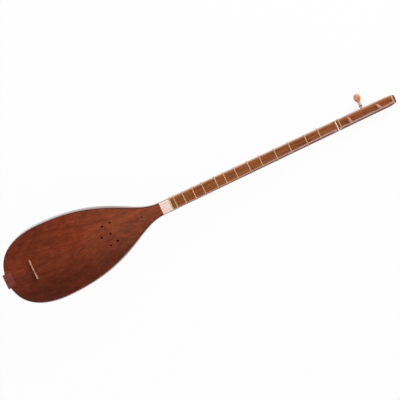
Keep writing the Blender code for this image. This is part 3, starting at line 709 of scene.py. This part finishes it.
def makeRib(index):
    def edgeAngles(x):
        section = Section(x)
        top = section.angleAt(-bowl["boardThickness"] - layout["ribGap"])
        edges = spread(top, math.pi - top, ribs["count"])
        start, end = edges[index], edges[index + 1]
        if index > 0:
            start += layout["ribGap"] / 2 / section.speed(start)
        if index < ribs["count"] - 1:
            end -= layout["ribGap"] / 2 / section.speed(end)
        return section, start, end

    def surface(u, v):
        section, start, end = edgeAngles(bowlX(u))
        curved = section.point(mix(start, end, v))
        flat = section.point(start).lerp(section.point(end), v)
        return curved.lerp(flat, ribs["flatness"])

    bm = sheet(ribs["columns"], ribs["rows"], surface)
    faceOutward(bm)
    middle = bm.faces[:][len(bm.faces) // 2]
    spot = middle.calc_center_median()
    if middle.normal.dot(spot - Vector((spot.x, 0, ribs["inside"]))) < 0:
        bmesh.ops.reverse_faces(bm, faces=bm.faces)
    bmesh.ops.solidify(bm, geom=bm.faces, thickness=ribs["thickness"])
    soften(bm, ribs["edge"], math.radians(50), 2)
    number = index + 1
    kind, slot = ("paleRib", "rib_wood_light") if index % 2 else ("rib", "rib_wood")
    if index in (0, ribs["count"] - 1):
        kind = "lowRib" if index else "topRib"
    addPiece(f"rib{number}", bm, kind, "instrument", [f"bowl_rib_{number}"])


for index in range(ribs["count"]):
    makeRib(index)
print("bowl done")

# Soundboard

board = {
    "columns": 110,
    "rows": 36,
    "edge": 0.9 * mm,
    "tailRim": 20 * mm,  # how far the rim's painted highlight reaches in from the tail
    "cutReach": 8 * mm,
}
soundHoles = (  # distance from the bridge, distance to the upper side, length along the grain, width
    (148.7 * mm, 17.6 * mm, 4.3 * mm, 3.7 * mm),
    (164.4 * mm, 17.8 * mm, 4.1 * mm, 3.6 * mm),
    (139.4 * mm, -0.9 * mm, 5.6 * mm, 3.1 * mm),
    (157.4 * mm, -1.1 * mm, 3.6 * mm, 3.3 * mm),
    (148.7 * mm, -21.1 * mm, 4.0 * mm, 3.2 * mm),
    (163.5 * mm, -18.7 * mm, 4.9 * mm, 4.3 * mm),
    (222.3 * mm, 1.6 * mm, 4.2 * mm, 4.2 * mm),
)


def makeBoard():
    def surface(u, v):
        x = bowlX(u)
        y = mix(-1, 1, v) * Section(x).sideAt(0)
        return Vector((x, y, crown(x, y)))

    bm = sheet(board["columns"], board["rows"], surface)
    if bm.faces[:][0].normal.z < 0:
        bmesh.ops.reverse_faces(bm, faces=bm.faces)
    rim = bm.verts.layers.float.new("rim")
    for vert in bm.verts:
        edge = Section(vert.co.x).sideAt(0)
        fromTail = (vert.co.x - ribEndX) / board["tailRim"]
        vert[rim] = max(abs(vert.co.y) / edge, 1 - min(fromTail, 1) * 0.3) ** 2
    bmesh.ops.solidify(bm, geom=bm.faces, thickness=bowl["boardThickness"])
    soften(bm, board["edge"], math.radians(50), 3)
    piece = addPiece("soundboard.wood", bm, "board", "instrument", ["soundboard"], 35)
    cutters = []
    reach = board["cutReach"]
    for x, y, length, width in soundHoles:
        hole = cone(Vector((x, y, -reach)), Vector((x, y, reach)), width / 2, width / 2)
        for vert in hole.verts:
            vert.co.x = x + (vert.co.x - x) * length / width
        cutters.append(hole)
    carve(piece, cutters)


makeBoard()
for name in ("tail_block", "neck_block"):
    slots = frame["nodes"][name].data.materials
    slots.clear()
    slots.append(materials["block"])
print("soundboard done")

# Neck and head

neck = {
    "facets": 44,
    "stations": 60,
    "edge": 0.9 * mm,
    # highlightWidth: width of the painted highlight along the neck's upper edge
    "highlightWidth": 2.6 * mm,
    "plateLength": 19.5 * mm,
    "plateThickness": 1.6 * mm,
    "plateEdge": 0.25 * mm,
    "nutThickness": 2.2 * mm,
    "nutSeat": 3 * mm,
    "nutHeight": 2.3 * mm,
    "nutEdge": 0.18 * mm,
    "cutAcross": 20 * mm,  # how far the cutters reach past the wood
    "cutAbove": 5 * mm,
    "cutThrough": 40 * mm,
}
plateX = bowl["jointX"] + layout["ribGap"]


def bevelWidth(x):
    grown = math.sin(math.pi / 2 * min(neckShare(x), 1))
    return mix(head["bevelStart"], head["bevelEnd"], grown)


# The section's outline: the face's upper edge, the back, the rounded lower shoulder, the bevel.
def neckOutline(x, facets=neck["facets"], shoulderFacets=8):
    section = Section(x)
    width = bevelWidth(x)
    slope = math.tan(head["bevelSlope"])
    faceEdge = section.sideAt(0) - width
    top = section.angleAt(0)
    low = math.pi - section.angleAt(-head["shoulderDrop"] * slope * width)
    shoulder = section.point(low)
    bevelEnd = Vector((x, -faceEdge - head["bevelShare"] * width, -head["bevelShare"] * width * slope))
    corner = Vector((x, shoulder.y, -(-shoulder.y - faceEdge) * slope))
    around = [section.point(angle) for angle in spread(top, low, facets)]
    for share in spread(0, 1, shoulderFacets)[1:]:
        around.append(shoulder.lerp(corner, share).lerp(corner.lerp(bevelEnd, share), share))
    return around + [Vector((x, -faceEdge, 0)), Vector((x, section.sideAt(0) - neck["highlightWidth"], 0))]


def neckStations(start, end, count):
    straightEnd = head["endX"] - head["roundLength"]
    if start >= straightEnd:
        return spread(start, end, count)
    return spread(start, straightEnd, count) + spread(straightEnd, end, 10)[1:]


def neckBody(start, end, count, edge):
    bm = loft([neckOutline(x) for x in neckStations(start, end, count)])
    soften(bm, edge, math.radians(24))
    turn = bm.verts.layers.float.new("turn")
    rim = bm.verts.layers.float.new("rim")
    for vert in bm.verts:
        vert[turn] = turnAt(vert.co)
        vert[rim] = rimAt(vert.co)
    return bm


def turnAt(point):
    section = Section(point.x)
    width = bevelWidth(point.x)
    bevelStart = section.sideAt(0) - width
    bevelEnd = bevelStart + head["bevelShare"] * width
    if point.y > -bevelStart or point.z < 3 * section.centre:
        return 0.0
    if -point.y < bevelEnd and point.z > -width:
        return (-point.y - bevelStart) / (bevelEnd - bevelStart)
    return 1 + min(-point.z / -section.centre, 2)


def rimAt(point):
    section = Section(point.x)
    start = section.sideAt(0) - neck["highlightWidth"]
    grown = min(max((point.y - start) / (section.width - start), 0), 1)
    past = (section.centre - point.z) / -section.centre
    return grown * (1 - smoothStep(past))


pegs = {
    "frontTurn": (math.radians(12), math.radians(35)),
    "sideX": layout["stringLength"] + 56.2 * mm,
    "sideDrop": 9 * mm,
    "radius": 2.8 * mm,
    "taper": 0.02,
    "gap": 0.25 * mm,
    "inset": 0.6 * mm,
    "stem": 12.4 * mm,
    "straight": 8 * mm,
    "waist": 2.4 * mm,
    "knobLength": 15.4 * mm,
    "knobHalfWidth": 6.6 * mm,
    "knobHalfThickness": 2.5 * mm,
    "knobBluntness": 0.6,
    "knobRoot": math.radians(-62),
    "knobTip": math.radians(88),
}
pegY = layout["pegY"]


def pegHole(outer, inner, above):
    length = (inner - outer).length
    wide = pegs["radius"] + pegs["taper"] * above + pegs["gap"]
    narrow = pegs["radius"] + pegs["taper"] * (above - length) + pegs["gap"]
    return cone(outer, inner, wide, narrow)


def makeNeck():
    bm = neckBody(plateX, stripX - layout["ribGap"], neck["stations"], neck["edge"])
    piece = addPiece("neck.wood", bm, "neck", "instrument", ["neck"])
    gap, above, through = layout["ribGap"], pegs["stem"], neck["cutThrough"]
    nutRoom = neck["nutThickness"] / 2 + gap
    tools = []
    for start, end, cutDepth in (
        (plateX - gap, plateX + neck["plateLength"] + gap, neck["plateThickness"]),
        (layout["stringLength"] - nutRoom, layout["stringLength"] + nutRoom, neck["nutSeat"]),
    ):
        low = (start, -neck["cutAcross"], -cutDepth - gap)
        tools.append(block(low, (end, neck["cutAcross"], neck["cutAbove"])))
    for x in frontPegX:
        tools.append(pegHole(Vector((x, pegY, above)), Vector((x, pegY, -through)), above))
    x, drop = pegs["sideX"], pegs["sideDrop"]
    outer = Vector((x, Section(x).sideAt(-drop) + above, -drop))
    tools.append(pegHole(outer, Vector((x, -through, -drop)), above))
    carve(piece, tools)

    plateEnd = plateX + neck["plateLength"]
    loops = []
    for x in spread(plateX, plateEnd, 8):
        section = Section(x)
        top, low = section.sideAt(0), section.sideAt(-neck["plateThickness"])
        under = -neck["plateThickness"]
        loops.append([Vector((x, y, z)) for y, z in ((top, 0), (-top, 0), (-low, under), (low, under))])
    plate = loft(loops)
    soften(plate, neck["plateEdge"], math.radians(40))
    addPiece("joint.plate", plate, "bone", "instrument", ["joint_plate"])
    strip = neckBody(stripX, stripX + head["stripLength"], 6, head["endEdge"])
    addPiece("head.strip", strip, "pale", "instrument", ["head_strip"])
    cap = neckBody(capX, head["endX"] - head["capTrim"], 8, head["endEdge"])
    addPiece("head.cap", cap, "dark", "instrument", ["head_cap"])


makeNeck()
print("neck done")

# Nut, gut frets and the gut over the strings behind the nut

gutBand = {
    "strands": 3,
    "radius": 0.27 * mm,
    "pitch": 0.56 * mm,
    "gap": 0.3 * mm,
    "tieX": 628.6 * mm,
    "tieRise": 1.2 * mm,
    "knotDepth": 1.5,  # depth of the knot, in depths of the section's widest line
}
strings = (  # name, radius, place across bridge, nut and string holder
    ("string_bass", 0.16 * mm, 8.0 * mm, 6.5 * mm, 7.0 * mm),
    ("string_treble_1", 0.09 * mm, -2.2 * mm, 0.9 * mm, -1.0 * mm),
    ("string_treble_2", 0.09 * mm, -7.0 * mm, -3.2 * mm, -8.2 * mm),
)
notchSize = {"depth": 0.6 * mm, "width": 1.1 * mm}


def gutLoop(x, rise):
    outline = neckOutline(x, 26)
    middle = sum(outline, Vector()) / len(outline)
    distance = gutBand["gap"] + gutBand["radius"]
    loop = []
    for index, point in enumerate(outline):
        before, after = outline[index - 1], outline[(index + 1) % len(outline)]
        for edge in ((point - before), (after - point)):
            outward = Vector((0, edge.z, -edge.y)).normalized()
            if outward.dot(point - middle) < 0:
                outward.negate()
            spot = point + outward * distance
            if rise and point.z > -0.01 * mm and outward.z > 0.9:
                spot.z += rise
            if not loop or (spot - loop[-1]).length > 0.05 * mm:
                loop.append(spot)
    return loop


# three turns over the strands, on the upper side of the back
def gutKnot(x):
    section = Section(x)
    angle = section.angleAt(section.centre * gutBand["knotDepth"])
    outward = Vector((0, math.cos(angle) / section.width, -math.sin(angle) / section.height))
    outward.normalize()
    around = outward.cross(Vector((1, 0, 0)))
    radius = gutBand["radius"]
    middle = section.point(angle) + outward * (gutBand["gap"] + radius)
    width = gutBand["pitch"] + 2 * radius
    turns = []
    for shift, rise in ((-1.9, 2.1), (0, 2.9), (1.9, 2.1)):
        foot = middle + around * shift * radius
        turns.append([
            foot + Vector((width * math.cos(share), 0, 0)) + outward * rise * radius * math.sin(share)
            for share in spread(0, math.pi, 10)
        ])
    return turns


def makeGut(name, x, rise, body, node):
    count = gutBand["strands"]
    loops = [gutLoop(x + (strand - (count - 1) / 2) * gutBand["pitch"], rise) for strand in range(count)]
    rod(name, loops + gutKnot(x), gutBand["radius"], "gut", body, [node], closed=count)


for number, x in enumerate(fretX, start=1):
    node = f"fret_{number:02d}"
    makeGut(f"gut.{number:02d}", x, 0, node, node)
makeGut("gut.tie", gutBand["tieX"], gutBand["tieRise"], "instrument", "nut_tie")


def notchedTop(halfLength, top, places):
    points = [(halfLength, top)]
    for y in sorted(places, reverse=True):
        half = notchSize["width"] / 2
        low = top - notchSize["depth"]
        points += [(y + half, top), (y + half * 0.8, low + half * 0.4), (y + half * 0.3, low)]
        points += [(y - half * 0.3, low), (y - half * 0.8, low + half * 0.4), (y - half, top)]
    return points + [(-halfLength, top)]


def makeNut():
    x = layout["stringLength"]
    half = Section(x).sideAt(-neck["nutSeat"])
    outline = notchedTop(half, neck["nutHeight"], [string[3] for string in strings])
    outline += [(-half, -neck["nutSeat"]), (half, -neck["nutSeat"])]
    bm = slab(x - neck["nutThickness"] / 2, outline, neck["nutThickness"])
    soften(bm, neck["nutEdge"], math.radians(60), 2)
    addPiece("nut.bone", bm, "bone", "instrument", ["nut"])


makeNut()
print("frets and nut done")

# Bridge and string holder

bridge = {
    "length": 39.5 * mm,
    "topLength": 37 * mm,
    "height": 8.6 * mm,
    "footThickness": 3.2 * mm,
    "topThickness": 2 * mm,
    "footLength": 9 * mm,
    "archHeight": 3.6 * mm,
    "slideEnd": 5 * mm,
    "edge": 0.2 * mm,
}
bridgeReach = bridge["slideEnd"] + bridge["footThickness"]
bridgeBase = max(crown(x, 0) for x in spread(-bridgeReach, bridgeReach, 8)) + layout["ribGap"]


def makeBridge():
    foot, top = bridge["length"] / 2, bridge["topLength"] / 2
    archEnd = foot - bridge["footLength"]
    outline = notchedTop(top, bridge["height"], [string[2] for string in strings])
    outline += [(-foot, bridge["archHeight"]), (-foot, 0)]
    outline += [
        (-archEnd * math.cos(angle), bridge["archHeight"] * math.sin(angle))
        for angle in spread(0, math.pi, 24)
    ]
    outline += [(foot, 0), (foot, bridge["archHeight"])]
    bm = slab(0, [(y, bridgeBase + z) for y, z in outline], 1)
    for vert in bm.verts:
        share = (vert.co.z - bridgeBase) / bridge["height"]
        vert.co.x = (vert.co.x - 0.5) * mix(bridge["footThickness"], bridge["topThickness"], share)
    faceOutward(bm)
    soften(bm, bridge["edge"], math.radians(50), 2)
    addPiece("bridge.wood", bm, "bridge", "bridge", ["bridge"])


makeBridge()

holder = {
    "width": 28 * mm,
    "nose": 4.6 * mm,
    "noseHeight": 11 * mm,
    "web": 3.2 * mm,
    "drop": 19 * mm,
    "lipLength": 12.3 * mm,
    "lipThickness": 2.4 * mm,
    "lipTaper": 1.0 * mm,
    "chamfer": 1.8 * mm,
    "edge": 0.35 * mm,
    "hitchRadius": 1.5 * mm,
    "hitchDrop": 13.5 * mm,
    "hitchEdge": 0.3 * mm,
}
noseX = ribEndX - holder["nose"]
webX = ribEndX - layout["ribGap"] - holder["web"]
lipEndX = ribEndX + holder["lipLength"]
lipSeat = max(crown(x, 0) for x in spread(ribEndX, lipEndX, 4)) + layout["ribGap"]
holderTop = lipSeat + holder["lipThickness"]


def makeHolder():
    back = ribEndX - layout["ribGap"]
    noseLow = holderTop - holder["noseHeight"]
    chamfer = holder["chamfer"]
    x, z = noseX + chamfer, holderTop - chamfer
    profile = [(noseX, noseLow)]
    for angle in spread(math.pi, math.pi / 2, 5):
        profile.append((x + chamfer * math.cos(angle), z + chamfer * math.sin(angle)))
    profile += [
        (lipEndX, holderTop - holder["lipTaper"]),
        (lipEndX, lipSeat),
        (back, lipSeat),
        (back, -holder["drop"]),
        (webX, -holder["drop"]),
        (webX, noseLow),
    ]
    side = holder["width"] / 2
    bm = loft([[Vector((x, y, z)) for x, z in profile] for y in (-side, side)])
    soften(bm, holder["edge"], math.radians(50), 2)
    piece = addPiece("string.holder", bm, "holder", "instrument", ["string_holder"])
    hitches = []
    for string in strings:
        y = string[4]
        root = Vector((webX + holder["web"] / 2, y, -holder["hitchDrop"]))
        tip = Vector((noseX, y, -holder["hitchDrop"]))
        hitch = cone(root, tip, holder["hitchRadius"], holder["hitchRadius"], 28)
        soften(hitch, holder["hitchEdge"], math.radians(60), 2)
        hitches.append(hitch)
    carve(piece, hitches, "UNION")


makeHolder()
print("bridge and string holder done")

# Pegs


def pegPlaces():
    side = Section(pegs["sideX"]).sideAt(-pegs["sideDrop"])
    places = []
    for x, turn in zip(frontPegX, pegs["frontTurn"]):
        turned = Matrix.Rotation(math.radians(90) + turn, 4, "Z")
        places.append(Matrix.Translation((x, pegY, 0)) @ turned)
    sideways = Matrix.Rotation(math.radians(-90), 4, "X")
    places.append(Matrix.Translation((pegs["sideX"], side, -pegs["sideDrop"])) @ sideways)
    return places


def makePeg(name, place, length, body):
    end = -(length - pegs["inset"])
    narrow = pegs["radius"] + pegs["taper"] * end
    rings = [  # height, half width, half thickness
        (end, narrow, narrow),
        (0, pegs["radius"], pegs["radius"]),
        (pegs["straight"], pegs["radius"], pegs["radius"]),
    ]
    middle = pegs["stem"] + pegs["knobLength"] / 2
    knobStart = middle + pegs["knobLength"] / 2 * math.sin(pegs["knobRoot"])
    knobRoot = pegs["knobHalfWidth"] * math.cos(pegs["knobRoot"])
    for share in spread(0, 1, 6)[1:-1]:
        height = mix(pegs["straight"], knobStart, share)
        radius = mix(pegs["radius"], pegs["waist"], smoothStep(share * 1.3))
        rings.append((height, mix(radius, knobRoot, smoothStep(share) ** 3), radius))
    for angle in spread(pegs["knobRoot"], pegs["knobTip"], 22):
        height = middle + pegs["knobLength"] / 2 * math.sin(angle)
        thickness = pegs["knobHalfThickness"] * math.cos(angle) ** pegs["knobBluntness"]
        rings.append((height, pegs["knobHalfWidth"] * math.cos(angle), thickness))
    loops = []
    for height, width, thickness in rings:
        ring = []
        for angle in spread(0, 2 * math.pi, 36)[:-1]:
            ring.append(place @ Vector((width * math.cos(angle), thickness * math.sin(angle), height)))
        loops.append(ring)
    bm = loft(loops)
    stem = bm.verts.layers.float.new("stem")
    toPlace = place.inverted()
    for vert in bm.verts:
        height = (toPlace @ vert.co).z - pegs["straight"]
        vert[stem] = 1 - smoothStep(height / (knobStart - pegs["straight"]))
    addPiece(name, bm, "peg", body, [body])


places = pegPlaces()
for number, x in enumerate(frontPegX, start=1):
    section = Section(x)
    backAngle = math.acos((pegY + pegs["radius"]) / section.width)
    makePeg(f"frontPeg{number}", places[number - 1], -section.point(backAngle).z, f"front_peg_{number}")
section, drop = Section(pegs["sideX"]), pegs["sideDrop"]
makePeg("sidePeg", places[2], section.sideAt(-drop) + section.sideAt(-drop - pegs["radius"]), "side_peg")
print("pegs done")

# Strings

wires = {
    "gap": 0.3 * mm,
    "turns": 4,
    "windingHeight": 3.5 * mm,
    "bend": 1.0 * mm,
    "loopStart": math.radians(70),
}


def rounded(corners, radius):
    route = [corners[0]]
    for before, corner, after in zip(corners, corners[1:], corners[2:]):
        inward = (before - corner).normalized()
        outward = (after - corner).normalized()
        reach = min(radius, (before - corner).length / 3, (after - corner).length / 3)
        start, end = corner + inward * reach, corner + outward * reach
        for share in spread(0, 1, 4):
            route.append(start.lerp(corner, share).lerp(corner.lerp(end, share), share))
    return route + [corners[-1]]


def hitchLoop(y, wire):
    radius = holder["hitchRadius"] + wires["gap"] + wire
    x = (noseX + webX) / 2
    return [
        Vector((x, y + radius * math.cos(angle), -holder["hitchDrop"] + radius * math.sin(angle)))
        for angle in spread(wires["loopStart"], 2 * math.pi, 28)
    ]


def tailRoute(yHitch, bridgePoint, wire):
    clear = wires["gap"] + wire
    mitre = clear * math.tan(math.pi / 8)
    loop = hitchLoop(yHitch, wire)
    y = loop[-1].y
    under = Vector((noseX - clear, y, holderTop - holder["noseHeight"] - clear))
    corner = Vector((noseX - clear, y, holderTop - holder["chamfer"] + mitre))
    crest = Vector((noseX + holder["chamfer"] - mitre, y, holderTop + clear))
    return loop + rounded([loop[-1], under, corner, crest, bridgePoint], wires["bend"])[1:]


def winding(place, wire, startAngle, direction):
    radius = pegs["radius"] + wires["gap"] + wire
    points = []
    steps = 28
    for step in range(wires["turns"] * steps + 1):
        angle = startAngle + direction * 2 * math.pi * step / steps
        height = wires["windingHeight"] + 3 * wire * step / steps
        points.append(place @ Vector((radius * math.cos(angle), radius * math.sin(angle), height)))
    return points


def makeString(string, pegRoute, material):
    name, wire, yBridge, yNut, yHitch = string
    bridgeTop = bridgeBase + bridge["height"] - notchSize["depth"] + wires["gap"] + wire
    nutTop = neck["nutHeight"] - notchSize["depth"] + wires["gap"] + wire
    bridgePoint = Vector((0, yBridge, bridgeTop))
    nutPoint = Vector((layout["stringLength"], yNut, nutTop))
    tiePoint = Vector((gutBand["tieX"], yNut, (gutBand["tieRise"] + gutBand["gap"]) / 2))
    route = tailRoute(yHitch, bridgePoint, wire)
    route += rounded([bridgePoint, nutPoint, tiePoint, pegRoute[0]], wires["bend"])[:-1]
    route += pegRoute
    rod(name + ".wire", [route], wire, material, "instrument", [name])


def makeStrings():
    bass, treble1, treble2 = strings
    clear = wires["gap"] + bass[1]
    side = Section(pegs["sideX"]).sideAt(0)
    wound = winding(places[2], bass[1], math.radians(-90), -1)
    share = (side - bass[3]) / (wound[0].y - bass[3])
    overEdge = Vector((mix(gutBand["tieX"], pegs["sideX"], share), side + clear, clear))
    makeString(bass, [overEdge] + wound, "bronze")
    for string, x, side in zip((treble1, treble2), frontPegX, (1, -1)):
        wound = winding(Matrix.Translation((x, pegY, 0)), string[1], side * math.radians(90), -side)
        makeString(string, wound, "steel")


makeStrings()
print("strings done")

# Floor, light and camera

studio = {
    "distance": 4.1,
    "frameWidth": 0.7416,
    "target": (333.85 * mm, -15.6 * mm, 0),
    "neckRise": math.radians(25.32),
    "roll": math.radians(2.5),
    "floorSize": 30,
    "floorShadow": 0.04,
    "worldLight": 0.5,
    "ceiling": 0.1,  # what gloss sees straight above, where the camera stands in the dark
}


def rays(paint):
    kinds = ("Camera", "Glossy", "Transmission")
    lightPath = paint.add("LightPath").socket.node
    return {kind: Value(paint, lightPath.outputs[f"Is {kind} Ray"]) for kind in kinds}


def makeFloor():
    bm = bmesh.new()
    bmesh.ops.create_grid(bm, x_segments=1, y_segments=1, size=studio["floorSize"] / 2)
    mesh = bpy.data.meshes.new("floor")
    bm.to_mesh(mesh)
    bm.free()
    floor = bpy.data.objects.new("floor", mesh)
    bpy.context.scene.collection.objects.link(floor)
    paint = Paint(bpy.data.materials.new("floorPaper"), Roughness=1.0, Specular_IOR_Level=0.0)
    paint.set(Base_Color=(0.8, 0.8, 0.8, 1))
    seen = rays(paint)
    seen = paint.add("Clamp", {}, {"Value": seen["Camera"] + seen["Glossy"] + seen["Transmission"]})
    glow = paint.add("Emission", {}, {"Color": (1, 1, 1, 1), "Strength": 1.0})
    paper = Value(paint, paint.shader.outputs[0])
    mixed = paint.add("MixShader", {}, {0: seen * (1 - studio["floorShadow"]), 1: paper, 2: glow})
    paint.feed(paint.nodes["Material Output"].inputs["Surface"], mixed)
    mesh.materials.append(paint.material)


# white for the camera and for gloss, except straight above, and dimmer for plain light
def makeWorld():
    world = bpy.data.worlds.new("studio")
    bpy.context.scene.world = world
    sky = Paint(world)
    seen = rays(sky)
    direction = sky.add("TexCoord")
    height = sky.add("SeparateXYZ", {}, {"Vector": direction}, output=2)
    gloss = sky.ramp(height, (0.35, 1), (0.8, studio["ceiling"])) * seen["Glossy"]
    straight = seen["Camera"] + seen["Transmission"]
    plain = (1 - straight - seen["Glossy"]) * studio["worldLight"]
    background = sky.nodes["Background"]
    background.inputs["Color"].default_value = (1, 1, 1, 1)
    sky.feed(background.inputs["Strength"], straight + gloss + plain)


def addLamp(name, place, target, size, watts):
    lamp = bpy.data.lights.new(name, "AREA")
    lamp.shape = "RECTANGLE"
    lamp.size, lamp.size_y = size
    lamp.energy = watts
    stand = bpy.data.objects.new(name, lamp)
    bpy.context.scene.collection.objects.link(stand)
    aim = (Vector(target) - Vector(place)).to_track_quat("-Z", "Y").to_matrix().to_4x4()
    stand.matrix_world = Matrix.Translation(place) @ aim


def makeCamera():
    roll, rise = studio["roll"], studio["neckRise"]
    towards = outOfFace * math.cos(roll) + toUpperSide * math.sin(roll)
    sideways = toUpperSide * math.cos(roll) - outOfFace * math.sin(roll)
    right = alongNeck * math.cos(rise) - sideways * math.sin(rise)
    up = alongNeck * math.sin(rise) + sideways * math.cos(rise)
    camera = bpy.data.cameras.new("camera")
    camera.sensor_width = 36
    camera.lens = camera.sensor_width * studio["distance"] / studio["frameWidth"]
    camera.clip_end = 50
    view = bpy.data.objects.new("camera", camera)
    bpy.context.scene.collection.objects.link(view)
    turn = Matrix((right, up, towards)).transposed().to_4x4()
    place = instrument @ Vector(studio["target"]) + towards * studio["distance"]
    view.matrix_world = Matrix.Translation(place) @ turn
    bpy.context.scene.camera = view


makeFloor()
makeWorld()
addLamp("keyLamp", (1.3, 1.3, 1.7), (0, 0, 0.05), (1.2, 1.2), 34)
addLamp("fillLamp", (-1.2, -0.9, 2.2), (0, 0, 0.05), (1.6, 1.6), 8)
makeCamera()
bpy.context.scene.view_settings.view_transform = "Standard"
